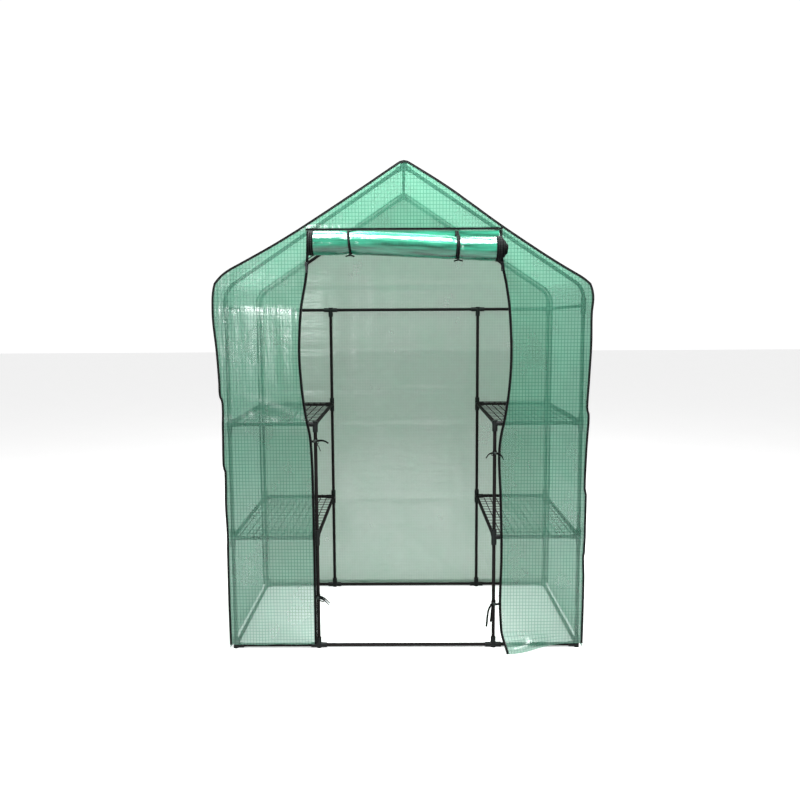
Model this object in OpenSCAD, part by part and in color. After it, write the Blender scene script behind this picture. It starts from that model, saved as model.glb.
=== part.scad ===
// Walk-in greenhouse: tube frame in plastic connectors, four wire shelves, a grid-reinforced
// cover with a zipped door that is rolled up, and tape ties. Front faces -Y, floor at Z = 0.

/* [Frame] */
// Distance between the left and right corner posts, centre to centre
frame_w = 1400; // [1200:10:1600]
// Distance between the front and back posts, centre to centre
frame_d = 695; // [600:5:900]
// Distance between the two inner posts beside the doorway
aisle_w = 716; // [660:2:760]
// Height of the lower shelf rails
shelf_low_z = 464; // [430:1:520]
// Height of the upper shelf rails
shelf_high_z = 928; // [900:1:1000]
// Height of the eave connectors
eave_z = 1390; // [1340:1:1450]
// Height at which the line of a post meets the line of the roof tube
eave_corner_z = 1460; // [1440:1:1520]
// Height of the ridge tube
ridge_z = 1926; // [1850:1:2000]
// Bend radius of the roof tubes
bend_r = 80; // [60:1:110]

/* [Tubes and connectors] */
// Outside diameter of the steel tubes
tube_d = 14; // [12:0.5:16]
// Wall of the steel tubes
tube_wall = 1; // [0.6:0.1:1.5]
// Length of a connector's arm from its centre
arm_l = 32; // [26:1:40]
// Radius of an upright connector arm
arm_r = 10.5; // [10:0.1:11]
// Gap between a tube and its socket
socket_gap = 0.1; // [0.05:0.01:0.2]

/* [Shelves] */
// Spacing of the shelf's cross wires
wire_pitch = 47; // [40:1:60]
// Thickness of a cross wire
wire_d = 3; // [2.5:0.1:4]
// Number of gaps between the long wires under them
bearer_gaps = 12; // [8:1:14]
// Thickness of a long wire
bearer_d = 3.6; // [3.5:0.1:5]

/* [Cover] */
// Gap between the tube centre lines and the inside of the cover
cover_off = 14; // [13.6:0.1:16]
// Thickness of the cover sheet
sheet_t = 0.8; // [0.5:0.1:1]
// Height of the cover's hem above the floor
hem_z = 3; // [2:1:10]
// Height of the seam that the door hangs from
door_top_z = 1678; // [1650:1:1700]
// Half the width of the doorway between the flaps
door_half = 364; // [355:1:370]
// How far the flap edges bow outwards between their ties
flap_bow = 44; // [0:1:60]

/* [Rolled door] */
// Outside diameter of the rolled door
roll_d = 94; // [80:1:100]
// Length of the rolled door
roll_l = 732; // [700:2:732]
// Height of the roll's centre
roll_z = 1627; // [1622:1:1628]

/* [Hidden] */
$fn = 48;

tube_r = tube_d / 2;
foot_z = 11;
seat = 10;
tube_end = seat + 1;
post_x = frame_w / 2;
post_y = frame_d / 2;
inner_x = aisle_w / 2;

slope = atan((ridge_z - eave_corner_z) / post_x);
turn = 90 - slope;
bend_z = eave_corner_z - bend_r * tan(turn / 2);
bend_end = [post_x - bend_r + bend_r * cos(turn), bend_z + bend_r * sin(turn)];
slope_l = norm([bend_end[0], ridge_z - bend_end[1]]);

cover_in = cover_off;
cover_out = cover_off + sheet_t;
front_in = post_y + cover_in;
front_out = post_y + cover_out;

strap_t = 1.2;
roll_r = roll_d / 2;
strap_r = roll_r + 0.6 + strap_t;
roll_y = -(front_out + 0.6 + strap_r);
seam_y = -(front_out + 0.3);
strap_x = 207;

zip_z = 1556;
pin_r = 1.2;
pull_gap = 0.08;
knot_r = 6;

// The origin is under the middle of the whole outline, roll included.
y_shift = (-roll_y + strap_r - front_out) / 2;

steel = "#1d2723";
plastic = "#14181a";
film = "#79b59b";
black = "#17191a";

// ---- Tubes and connectors ----

module along(direction) {
    if (direction == "x") rotate([0, 90, 0]) children();
    if (direction == "-x") rotate([0, -90, 0]) children();
    if (direction == "y") rotate([-90, 0, 0]) children();
    if (direction == "-y") rotate([90, 0, 0]) children();
    if (direction == "z") children();
    if (direction == "-z") rotate([180, 0, 0]) children();
    if (direction == "left slope") rotate([0, -90 - slope, 0]) children();
    if (direction == "right slope") rotate([0, 90 + slope, 0]) children();
}

module tube(length) {
    difference() {
        cylinder(r = tube_r, h = length);
        translate([0, 0, -1]) cylinder(r = tube_r - tube_wall, h = length + 2);
    }
}

// A tube between two connector centres, a and b, that lie along one direction.
module run(a, b, direction) {
    length = norm(b - a) - 2 * tube_end;
    translate(a) along(direction) translate([0, 0, tube_end]) tube(length);
}

function tangent(path, i) =
    let (a = path[max(i - 1, 0)], b = path[min(i + 1, len(path) - 1)]) (b - a) / norm(b - a);

// A round bar with that many sides along a path of points.
module sweep(path, r, sides) {
    rings = [
        for (i = [0 : len(path) - 1])
            let (
                t = tangent(path, i),
                c = cross(t, [0, 1, 0.01]),
                u = c / norm(c),
                v = cross(t, u)
            )
            for (k = [0 : sides - 1])
                let (a = 360 * k / sides)
                path[i] + r * (cos(a) * u + sin(a) * v)
    ];
    last = sides * (len(path) - 1);
    walls = [
        for (i = [0 : len(path) - 2], k = [0 : sides - 1])
            let (a = sides * i + k, b = sides * i + (k + 1) % sides)
            [a, a + sides, b + sides, b]
    ];
    first_end = [for (k = [0 : sides - 1]) k];
    last_end = [for (k = [sides - 1 : -1 : 0]) last + k];
    polyhedron(points = rings, faces = concat([first_end], walls, [last_end]));
}

function arm_radius(direction) =
    direction == "z" || direction == "-z" ? arm_r :
    direction == "y" || direction == "-y" ? arm_r - 0.7 : arm_r - 0.5;

// A moulded connector with one socket along each direction in arms.
module connector(at, arms, low = 0, high = 0) {
    translate(at) difference() {
        union() {
            for (a = arms) along(a) cylinder(r = arm_radius(a), h = arm_l);
            if (low > 0) translate([0, 0, -low]) cylinder(r = arm_r, h = low + 2);
            if (high > 0) translate([0, 0, -2]) cylinder(r = arm_r, h = high + 2);
        }
        for (a = arms) along(a) translate([0, 0, seat]) cylinder(r = tube_r + socket_gap, h = arm_l);
    }
}

module post(x, y, levels) {
    color(steel)
        for (i = [0 : len(levels) - 2])
            translate([0, y_shift, 0]) run([x, y, levels[i]], [x, y, levels[i + 1]], "z");
}

// Rails along X through the connector centres at xs.
module rail_x(xs, y, z) {
    color(steel)
        for (i = [0 : len(xs) - 2])
            translate([0, y_shift, 0]) run([xs[i], y, z], [xs[i + 1], y, z], "x");
}

module rail_y(x, z) {
    color(steel)
        translate([0, y_shift, 0]) run([x, -post_y, z], [x, post_y, z], "y");
}

module outer_post(side, y) {
    post(side * post_x, y, [foot_z, shelf_low_z, shelf_high_z, eave_z]);
}

module inner_post(side, y) {
    top = y < 0 ? [] : [eave_z];
    post(side * inner_x, y, concat([foot_z, shelf_low_z, shelf_high_z], top));
}

module ground_rail(y) {
    rail_x([-post_x, -inner_x, inner_x, post_x], y, foot_z);
}

module ground_rails_side() {
    for (x = [-post_x, post_x]) rail_y(x, foot_z);
}

module shelf_rails(side, z) {
    xs = side < 0 ? [-post_x, -inner_x] : [inner_x, post_x];
    for (y = [-post_y, post_y]) rail_x(xs, y, z);
    for (x = xs) rail_y(x, z);
}

module eave_rail_back() {
    rail_x([-post_x, -inner_x, inner_x, post_x], post_y, eave_z);
}

module eave_rails_side() {
    for (x = [-post_x, post_x]) rail_y(x, eave_z);
}

// Centre line of a right-hand roof tube: upright stub, bend and slope. Its ends run on by extra.
function roof_line(extra) = concat(
    [[post_x, 0, eave_z + tube_end - extra]],
    [
        for (i = [0 : 10])
            let (a = turn * i / 10)
            [post_x - bend_r + bend_r * cos(a), 0, bend_z + bend_r * sin(a)]
    ],
    [[(tube_end - extra) * cos(slope), 0, ridge_z - (tube_end - extra) * sin(slope)]]
);

module roof_tube(side, y) {
    color(steel) translate([0, y + y_shift, 0]) rotate([0, 0, side < 0 ? 180 : 0])
        difference() {
            sweep(roof_line(0), tube_r, 24);
            sweep(roof_line(1), tube_r - tube_wall, 24);
        }
}

module ridge_tube() {
    rail_y(0, ridge_z);
}

module corner_feet() {
    color(plastic) translate([0, y_shift, 0])
        for (x = [-1, 1], y = [-1, 1])
            connector([x * post_x, y * post_y, foot_z], ["z", x < 0 ? "x" : "-x", y < 0 ? "y" : "-y"], foot_z);
}

module inner_feet() {
    color(plastic) translate([0, y_shift, 0])
        for (x = [-1, 1], y = [-1, 1])
            connector([x * inner_x, y * post_y, foot_z], ["z", "x", "-x"], foot_z);
}

module shelf_joints_outer() {
    color(plastic) translate([0, y_shift, 0])
        for (x = [-1, 1], y = [-1, 1], z = [shelf_low_z, shelf_high_z])
            connector([x * post_x, y * post_y, z], ["z", "-z", x < 0 ? "x" : "-x", y < 0 ? "y" : "-y"]);
}

module shelf_joints_low() {
    color(plastic) translate([0, y_shift, 0])
        for (x = [-1, 1], y = [-1, 1])
            connector([x * inner_x, y * post_y, shelf_low_z], ["z", "-z", x < 0 ? "-x" : "x", y < 0 ? "y" : "-y"]);
}

// The front inner posts end here; the back ones go on to the eave.
module shelf_joints_high() {
    color(plastic) translate([0, y_shift, 0])
        for (x = [-1, 1], y = [-1, 1])
            connector([x * inner_x, y * post_y, shelf_high_z],
                concat(y < 0 ? [] : ["z"], ["-z", x < 0 ? "-x" : "x", y < 0 ? "y" : "-y"]), 0, y < 0 ? 12 : 0);
}

module eave_joints_outer() {
    color(plastic) translate([0, y_shift, 0])
        for (x = [-1, 1], y = [-1, 1])
            connector([x * post_x, y * post_y, eave_z],
                concat(["z", "-z", y < 0 ? "y" : "-y"], y < 0 ? [] : [x < 0 ? "x" : "-x"]));
}

module eave_joints_inner() {
    color(plastic) translate([0, y_shift, 0])
        for (x = [-1, 1])
            connector([x * inner_x, post_y, eave_z], ["-z", "x", "-x"], 0, 12);
}

module ridge_joints() {
    color(plastic) translate([0, y_shift, 0])
        for (y = [-1, 1])
            translate([0, y * post_y, ridge_z]) difference() {
                union() {
                    rotate([90, 0, 0]) cylinder(r = 12.6, h = 25.6, center = true);
                    for (a = ["left slope", "right slope", y < 0 ? "y" : "-y"])
                        along(a) cylinder(r = arm_radius(a), h = arm_l);
                }
                for (a = ["left slope", "right slope", y < 0 ? "y" : "-y"])
                    along(a) translate([0, 0, seat]) cylinder(r = tube_r + socket_gap, h = arm_l);
            }
}

// ---- Wire shelves ----

module wire(d, length) {
    rotate([0, 0, 22.5]) cylinder(d = d, h = length, $fn = 8);
}

// A shelf lies on its rails: long wires on the rails, clear of the connectors, and cross wires
// welded over them.
module shelf(side, z) {
    middle = side * (post_x + inner_x) / 2;
    half = (post_x - inner_x) / 2;
    bearer_z = z + tube_r + 0.3 + bearer_d / 2;
    cross_z = bearer_z + bearer_d / 2 + wire_d / 2 - 0.6;
    last = floor((post_y - arm_r - 5) / wire_pitch);
    color(steel) translate([middle, y_shift, 0]) {
        for (i = [0 : bearer_gaps]) {
            x = -half + 2 * half * i / bearer_gaps;
            room = half - abs(x);
            start = room < arm_r ? arm_l + 3 : room < arm_l + 3 ? arm_r + 3 : -4;
            translate([x, -post_y + start, bearer_z]) along("y") wire(bearer_d, frame_d - 2 * start);
        }
        for (i = [-last : last])
            translate([-half - 5, i * wire_pitch, cross_z]) along("x") wire(wire_d, 2 * half + 10);
    }
}

// ---- Cover ----

// Points round the left eave, from the wall up to the slope, at an offset from the tube line.
function eave_arc(offset) = [
    for (i = [0 : 8])
        let (a = 180 - turn * i / 8)
        [-(post_x - bend_r) + (bend_r + offset) * cos(a), bend_z + (bend_r + offset) * sin(a)]
];
function apex(offset) = [0, ridge_z + offset / cos(slope)];
function flipped(points) = [for (i = [len(points) - 1 : -1 : 0]) [-points[i][0], points[i][1]]];
function backwards(points) = [for (i = [len(points) - 1 : -1 : 0]) points[i]];
function outline(offset) = concat(
    [[-(post_x + offset), hem_z]],
    eave_arc(offset),
    [apex(offset)],
    flipped(eave_arc(offset)),
    [[post_x + offset, hem_z]]
);

// Stands a drawing in X and Z up as a sheet whose front face is at y.
module upright(y, t) {
    translate([0, y + t + y_shift, 0]) rotate([90, 0, 0]) linear_extrude(height = t) children();
}

module cover_wall(side) {
    color(film) translate([side < 0 ? -post_x - cover_out : post_x + cover_in, -front_in + y_shift, hem_z])
        cube([sheet_t, 2 * front_in, bend_z - hem_z]);
}

module cover_roof(side) {
    color(film) mirror([side < 0 ? 0 : 1, 0, 0]) upright(-front_in, 2 * front_in)
        polygon(concat(eave_arc(cover_out), [apex(cover_out), apex(cover_in)], backwards(eave_arc(cover_in))));
}

module cover_back() {
    color(film) upright(front_in, sheet_t) polygon(outline(cover_out));
}

module cover_gable() {
    color(film) upright(-front_out, sheet_t) intersection() {
        polygon(outline(cover_out));
        translate([-post_x, door_top_z]) square([frame_w, 600]);
    }
}

bow_low_z = 620;
bow_high_z = 1690;
function bow(z) = z < bow_low_z ? 0 : flap_bow * pow(sin(180 * (z - bow_low_z) / (bow_high_z - bow_low_z)), 2);
function door_edge(z) = door_half + bow(z);

module cover_flap(side) {
    heights = [for (i = [0 : 18]) hem_z + (door_top_z - hem_z) * i / 18];
    color(film) mirror([side < 0 ? 0 : 1, 0, 0]) upright(-front_out, sheet_t) intersection() {
        polygon(outline(cover_out));
        polygon(concat(
            [for (z = heights) [-door_edge(z), z]],
            [[-post_x - 50, door_top_z], [-post_x - 50, hem_z]]
        ));
    }
}

// Half of the zip, sewn along the edge of a flap.
module zip_tape(side) {
    heights = [for (i = [0 : 18]) hem_z + 4 + (roll_z - roll_r - 8 - hem_z) * i / 18];
    color(black) mirror([side < 0 ? 0 : 1, 0, 0]) upright(-front_out - 1, 1)
        polygon(concat(
            [for (z = heights) [-door_edge(z) - 1, z]],
            [for (z = backwards(heights)) [-door_edge(z) - 15, z]]
        ));
}

module door_seam_tape() {
    color(black) translate([-door_half - 10, -front_out - 1 + y_shift, door_top_z + 3])
        cube([2 * door_half + 20, 1, 12]);
}

// ---- Rolled door ----

// The door hangs from its seam on a short strip and is rolled into a hollow roll.
module door_roll() {
    strip_y = roll_r - 3.2;
    color(film) translate([-roll_l / 2, roll_y + y_shift, roll_z]) difference() {
        union() {
            rotate([0, 90, 0]) cylinder(r = roll_r, h = roll_l, $fn = 96);
            translate([0, strip_y - 1.2, 0]) cube([roll_l, 1.2, door_top_z - roll_z]);
            translate([0, strip_y - 1.2, door_top_z - roll_z - 1.2])
                cube([roll_l, seam_y - roll_y - strip_y + 1.2, 1.2]);
        }
        translate([-1, 0, 0]) rotate([0, 90, 0]) cylinder(r = roll_r - 4, h = roll_l + 2, $fn = 96);
    }
}

// A sling round the roll, open where the strip passes, with its knot below.
module roll_strap(side) {
    color(black) translate([side * strap_x, roll_y + y_shift, roll_z]) {
        difference() {
            union() {
                translate([-10, 0, 0]) rotate([0, 90, 0]) cylinder(r = strap_r, h = 20, $fn = 96);
                translate([0, -6, -strap_r - 4]) sphere(r = 6);
            }
            translate([-11, 0, 0]) rotate([0, 90, 0]) cylinder(r = strap_r - strap_t, h = 22, $fn = 96);
            translate([-11, strap_r - 9, 6]) cube([22, 20, strap_r]);
        }
    }
}

// ---- Zip sliders and pulls ----

function zip_x(side) = side * (door_edge(zip_z) + 8);

module zip_slider(side) {
    color(black) translate([zip_x(side), -front_out - 1 + y_shift, zip_z]) {
        translate([-6, -3, -8]) cube([12, 3, 16]);
        for (x = [-1, 1]) translate([x * 4.4 - 1, -8, 0]) cube([2, 6, 5]);
        translate([-5, -6, 2.5]) rotate([0, 90, 0]) cylinder(r = pin_r, h = 10);
    }
}

module zip_pull(side) {
    color(black) translate([zip_x(side), -front_out - 1 + y_shift, zip_z]) difference() {
        union() {
            translate([-3, -6, 2.5]) rotate([0, 90, 0]) cylinder(r = 2.6, h = 6);
            translate([-3, -6.7, -6]) cube([6, 1.4, 7]);
            translate([-4.5, -6.7, -32]) cube([9, 1.4, 27]);
        }
        translate([-4, -6, 2.5]) rotate([0, 90, 0]) cylinder(r = pin_r + pull_gap, h = 8);
        translate([0, -10, -27]) rotate([-90, 0, 0]) cylinder(r = 2, h = 8);
    }
}

// ---- Ties ----

tie_z_left = [862, 218];
tie_z_right = [810, 190];
tie_y = -post_y - 22;
tape_d = 5;

// Routes of the loose tie ends, from each knot: across, forwards and up.
tails_upper_left = [
    [[6, 0, 1], [14, -2, 3], [24, -4, 4], [34, -5, 3], [44, -6, -1], [53, -6, -7]],
    [[5, -3, -4], [9, -6, -11], [14, -8, -19], [18, -8, -28], [21, -8, -38]]
];
tails_lower_left = [
    [[6, -1, 0], [15, -4, -2], [25, -6, -8], [34, -7, -17], [42, -7, -27]],
    [[5, -4, -4], [9, -8, -11], [14, -10, -19], [20, -11, -28], [24, -11, -38]]
];
tails_upper_right = [
    [[-6, 0, 1], [-15, -3, 2], [-24, -5, -2], [-31, -6, -9], [-36, -6, -18]],
    [[6, -2, 1], [15, -5, 0], [23, -7, -6], [29, -8, -14], [33, -8, -23]]
];
tails_lower_right = [
    [[-6, -1, -1], [-13, -4, -6], [-19, -6, -15], [-23, -7, -27], [-25, -7, -41], [-27, -7, -57],
        [-28, -7, -74], [-30, -7, -92]],
    [[-4, -4, -5], [-8, -8, -14], [-10, -10, -26], [-11, -11, -40], [-12, -11, -55], [-14, -11, -70]]
];

module ties(side, heights) {
    color(black) for (z = heights)
        translate([side * inner_x, y_shift, z]) difference() {
            union() {
                translate([0, -post_y, -5]) cylinder(r = tube_r + 1.3, h = 10);
                translate([-side * 1.5 - 4, -post_y - 22, -4]) cube([8, 22 - tube_r, 8]);
                translate([-side * 1.5, tie_y, 0]) sphere(r = knot_r);
            }
            translate([0, -post_y, -6]) cylinder(r = tube_r + 0.2, h = 12);
        }
}

module tie_tails(side, heights, routes) {
    color(black) for (i = [0, 1], route = routes[i])
        translate([side * (inner_x - 1.5), tie_y + y_shift, heights[i]]) sweep(route, tape_d / 2, 8);
}

outer_post(-1, -post_y);  // post_front_left
outer_post(1, -post_y);  // post_front_right
outer_post(-1, post_y);  // post_back_left
outer_post(1, post_y);  // post_back_right
inner_post(-1, -post_y);  // inner_post_front_left
inner_post(1, -post_y);  // inner_post_front_right
inner_post(-1, post_y);  // inner_post_back_left
inner_post(1, post_y);  // inner_post_back_right
ground_rail(-post_y);  // ground_rail_front
ground_rail(post_y);  // ground_rail_back
ground_rails_side();
shelf_rails(-1, shelf_low_z);  // shelf_rails_low_left
shelf_rails(1, shelf_low_z);  // shelf_rails_low_right
shelf_rails(-1, shelf_high_z);  // shelf_rails_high_left
shelf_rails(1, shelf_high_z);  // shelf_rails_high_right
eave_rail_back();
eave_rails_side();
roof_tube(-1, -post_y);  // roof_tube_front_left
roof_tube(1, -post_y);  // roof_tube_front_right
roof_tube(-1, post_y);  // roof_tube_back_left
roof_tube(1, post_y);  // roof_tube_back_right
ridge_tube();
corner_feet();
inner_feet();
shelf_joints_outer();
shelf_joints_low();
shelf_joints_high();
eave_joints_outer();
eave_joints_inner();
ridge_joints();
shelf(-1, shelf_low_z);  // shelf_low_left
shelf(1, shelf_low_z);  // shelf_low_right
shelf(-1, shelf_high_z);  // shelf_high_left
shelf(1, shelf_high_z);  // shelf_high_right
cover_wall(-1);  // cover_wall_left
cover_wall(1);  // cover_wall_right
cover_roof(-1);  // cover_roof_left
cover_roof(1);  // cover_roof_right
cover_back();
cover_flap(-1);  // cover_flap_left
cover_flap(1);  // cover_flap_right
cover_gable();
door_roll();
roll_strap(-1);  // roll_strap_left
roll_strap(1);  // roll_strap_right
door_seam_tape();
zip_tape(-1);  // zip_tape_left
zip_tape(1);  // zip_tape_right
zip_slider(-1);  // zip_slider_left
zip_slider(1);  // zip_slider_right
zip_pull(-1);  // zip_pull_left
zip_pull(1);  // zip_pull_right
ties(-1, tie_z_left);  // ties_left
ties(1, tie_z_right);  // ties_right
tie_tails(-1, tie_z_left, [tails_upper_left, tails_lower_left]);  // tie_tails_left
tie_tails(1, tie_z_right, [tails_upper_right, tails_lower_right]);  // tie_tails_right
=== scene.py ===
"""Looks of a walk-in greenhouse: cover, rolled door, tapes, ties, finishes and a pale studio.

Everything is in metres in the frame's own axes: front faces -Y, floor at Z = 0.
"""

import math

import bmesh
import bpy
from bpy.props import FloatProperty, FloatVectorProperty, IntProperty, PointerProperty
from mathutils import Matrix, Vector, noise


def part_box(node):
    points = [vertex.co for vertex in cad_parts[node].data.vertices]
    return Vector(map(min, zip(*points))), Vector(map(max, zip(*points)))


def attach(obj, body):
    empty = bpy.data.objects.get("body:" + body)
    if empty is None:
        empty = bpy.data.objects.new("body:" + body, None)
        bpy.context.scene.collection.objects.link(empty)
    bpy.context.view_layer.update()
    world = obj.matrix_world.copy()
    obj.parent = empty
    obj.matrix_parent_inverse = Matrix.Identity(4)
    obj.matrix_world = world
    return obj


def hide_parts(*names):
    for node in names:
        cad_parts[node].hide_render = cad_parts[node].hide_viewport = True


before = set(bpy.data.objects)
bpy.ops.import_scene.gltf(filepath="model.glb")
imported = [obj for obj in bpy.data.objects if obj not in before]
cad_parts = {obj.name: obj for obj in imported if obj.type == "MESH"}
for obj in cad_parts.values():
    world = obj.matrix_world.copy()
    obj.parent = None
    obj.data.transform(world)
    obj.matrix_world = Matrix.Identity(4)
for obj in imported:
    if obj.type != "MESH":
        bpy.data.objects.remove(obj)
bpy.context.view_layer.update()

bl_info = {
    "name": "Walk-in greenhouse",
    "version": (1, 0, 0),
    "blender": (4, 5, 0),
    "location": "View3D > Sidebar > Greenhouse",
    "description": "Builds the cover, rolled door, tapes and finishes of a tube-framed greenhouse",
    "category": "Object",
}


# ---- Places read from the frame ----


def centre(name):
    """Middle of a frame node's box."""
    low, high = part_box(name)
    return (low + high) / 2


POST = centre("post_front_right")
INNER_POST = centre("inner_post_front_right")
RIDGE_Z = centre("ridge_tube").z
FRONT_Y = centre("cover_gable").y
BACK_Y = centre("cover_back").y
WALL_X = centre("cover_wall_right").x
HEM_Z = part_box("cover_flap_left")[0].z
DOOR_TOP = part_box("cover_gable")[0].z
FILM_OFF = WALL_X - POST.x
# The line on the gable film that the rolled door swings about
HINGE_Z = 1.678
EAVE_Z = centre("eave_rail_back").z

# How the roof tubes are bent: the height where post and slope lines meet, and the bend's radius
EAVE_CORNER = 1.460
BEND_R = 0.080
# The film's own small radius over the ridge
CREST_R = 0.030

SLOPE = math.atan((RIDGE_Z - EAVE_CORNER) / POST.x)
TURN = math.pi / 2 - SLOPE
BEND_Z = EAVE_CORNER - BEND_R * math.tan(TURN / 2)
ARC_R = BEND_R + FILM_OFF
APEX_Z = RIDGE_Z + FILM_OFF / math.cos(SLOPE)

WALL_L = BEND_Z - HEM_Z
ARC_L = ARC_R * TURN
ARC_END = Vector((POST.x - BEND_R + ARC_R * math.cos(TURN), BEND_Z + ARC_R * math.sin(TURN)))
SLOPE_L = (APEX_Z - ARC_END.y) / math.sin(SLOPE) - CREST_R * math.tan(SLOPE)
CREST_L = CREST_R * SLOPE
HALF_L = WALL_L + ARC_L + SLOPE_L + CREST_L

# How far the sewn seam stands out from the frame at each height, left and right
SEAM_OUT_LEFT = (
    (0.00, 0.003), (0.25, 0.004), (0.43, 0.003), (0.46, 0.001), (0.60, 0.005), (0.742, 0.003),
    (0.760, 0.009), (0.88, 0.008), (1.02, 0.006), (1.045, 0.015), (1.10, 0.016), (1.22, 0.022),
    (1.34, 0.032), (1.45, 0.032), (1.50, 0.036), (1.54, 0.029), (1.64, 0.014), (1.78, 0.006),
    (1.94, 0.003),
)
SEAM_OUT_RIGHT = (
    (0.00, 0.003), (0.29, 0.005), (0.385, 0.002), (0.405, 0.005), (0.64, 0.007), (0.665, 0.002),
    (0.82, 0.005), (0.962, 0.011), (0.985, 0.005), (1.10, 0.010), (1.24, 0.015), (1.36, 0.013),
    (1.42, 0.018), (1.48, 0.013), (1.56, 0.005), (1.69, 0.003), (1.84, 0.010), (1.94, 0.003),
)
# Half width of the doorway at each height, where the flap edges bow outwards between their ties
DOOR_EDGE_LEFT = (
    (0.00, 0.364), (0.62, 0.364), (0.867, 0.371), (0.98, 0.390), (1.09, 0.402), (1.22, 0.407),
    (1.38, 0.397), (1.52, 0.374), (1.68, 0.366),
)
DOOR_EDGE_RIGHT = (
    (0.00, 0.392), (0.05, 0.386), (0.19, 0.378), (0.39, 0.382), (0.62, 0.377), (0.79, 0.369),
    (0.87, 0.374), (0.975, 0.394), (1.09, 0.408), (1.22, 0.412), (1.38, 0.403), (1.47, 0.391),
    (1.56, 0.374), (1.68, 0.368),
)

# Creases of the flaps, from where (x, z) to where, drawn between the posts, shelves and ties
FLAP_CREASES = (
    ((-0.68, 1.055), (-0.385, 0.940)), ((-0.645, 0.940), (-0.540, 0.990)),
    ((-0.66, 0.435), (-0.555, 0.368)),
    ((0.59, 0.750), (0.700, 0.655)), ((0.64, 0.445), (0.700, 0.385)),
    ((0.42, 1.120), (0.560, 0.960)), ((0.40, 0.600), (0.500, 0.480)),
)
CREASE_OUT, CREASE_WIDE = 0.0018, 0.030
# The fold of the front film under the eave, its slack beside the doorway, the marks of the
# shelves on it, and the stretch that stays taut along the door's hinge line
FOLD_Z, FOLD_OUT, FOLD_BELOW, FOLD_ABOVE = EAVE_Z - 0.008, 0.006, 0.10, 0.06
SLACK_Z, SLACK_OUT, SLACK_HIGH, SLACK_WIDE = 1.24, 0.009, 0.42, 0.05
SHELF_LEVELS, SHELF_OUT, SHELF_HIGH = (0.93, 0.466), 0.003, 0.05
TAUT_HIGH, TAUT_HALF, TAUT_FADE = 0.035, 0.40, 0.05
# The deepest that a front or back film sinks behind its plane
SUNK = -0.0015

# Near the floor the hems are drawn up, and the right flap's corner by the doorway is kicked out
FOOT_HIGH, FLAP_LIFT, HEM_LIFT = 0.25, 0.017, 0.004
KICK, KICK_HIGH = Vector((0.012, -0.058, -0.001)), 0.075
KICK_FROM, KICK_FADE = 0.40, 0.25

# Heights of the back film's packing folds, how far they stand out and how wide they run
BACK_FOLDS, BACK_FOLD_OUT, BACK_FOLD_WIDE = (0.30, 0.45, 0.82, 1.00, 1.20, 1.51), 0.0035, 0.022
# How far the back seam stands out, and how far from each seam the wrap lies flat again
BACK_SEAM_OUT, BACK_SEAM_WIDE, FRONT_SEAM_WIDE = 0.006, 0.05, 0.028
WALL_OUT, ROOF_SAG = 0.003, 0.014

UP, ACROSS = Vector((0, 0, 1)), Vector((1, 0, 0))
# Half width of the doorway that the mesh is counted by
DOOR_HALF = 0.37
# Edges turned by more than this, in radians, are drawn sharp
SHARP = 0.7
MERGE = 1e-5


# ---- Small helpers ----


def linear(hex_colour):
    """Linear colour of an sRGB hex value."""
    channels = [int(hex_colour[i:i + 2], 16) / 255 for i in (0, 2, 4)]
    return [c / 12.92 if c <= 0.04045 else ((c + 0.055) / 1.055) ** 2.4 for c in channels] + [1.0]


def ease(value):
    """0 to 1 with a soft start and end."""
    t = min(max(value, 0.0), 1.0)
    return t * t * (3 - 2 * t)


def hump(value, middle, reach):
    """1 at the middle, falling softly to 0 at reach from it."""
    return 1 - ease(abs(value - middle) / reach)


def ripple(across, along, across_size, along_size, layer=0.0):
    """Smooth unevenness from about -1 to 1 with its own size each way."""
    return noise.noise(Vector((across / across_size, along / along_size, layer)))


def between(table, at):
    """Value of a (place, value) table at a place, on a smooth curve through its points."""
    places = [p for p, _ in table]
    values = [v for _, v in table]
    if at <= places[0]:
        return values[0]
    if at >= places[-1]:
        return values[-1]
    i = max(k for k in range(len(places) - 1) if places[k] <= at)
    slopes = []
    for k in (i, i + 1):
        low, high = max(k - 1, 0), min(k + 1, len(places) - 1)
        slopes.append((values[high] - values[low]) / (places[high] - places[low]))
    span = places[i + 1] - places[i]
    t = (at - places[i]) / span
    step = ease(t)
    lean = slopes[0] * span * t * (1 - t) ** 2 - slopes[1] * span * t * t * (1 - t)
    return values[i] * (1 - step) + values[i + 1] * step + lean


def smooth_path(points, steps):
    """Evenly counted points on a rounded curve through the given ones."""
    points = [Vector(p) for p in points]
    table = [[(k, p[axis]) for k, p in enumerate(points)] for axis in range(3)]
    last = len(points) - 1
    return [Vector([between(t, last * i / steps) for t in table]) for i in range(steps + 1)]


# ---- Shape of the cover ----


def outline(distance):
    """Point and outward direction (x, z) of the cover's right half, from the hem up to the ridge."""
    if distance <= WALL_L:
        return Vector((WALL_X, HEM_Z + distance)), Vector((1, 0))
    distance -= WALL_L
    if distance <= ARC_L:
        a = distance / ARC_R
        out = Vector((math.cos(a), math.sin(a)))
        return Vector((POST.x - BEND_R, BEND_Z)) + out * ARC_R, out
    distance -= ARC_L
    out = Vector((math.sin(SLOPE), math.cos(SLOPE)))
    up = Vector((-math.cos(SLOPE), math.sin(SLOPE)))
    if distance <= SLOPE_L:
        return ARC_END + up * distance, out
    a = SLOPE * (1 - (distance - SLOPE_L) / CREST_L)
    out = Vector((math.sin(a), math.cos(a)))
    return Vector((0, APEX_Z - CREST_R / math.cos(SLOPE))) + out * CREST_R, out


def seam_out(side, z):
    """How far the sewn seam stands out from the film's plane at a height."""
    return between(SEAM_OUT_LEFT if side < 0 else SEAM_OUT_RIGHT, z)


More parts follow.
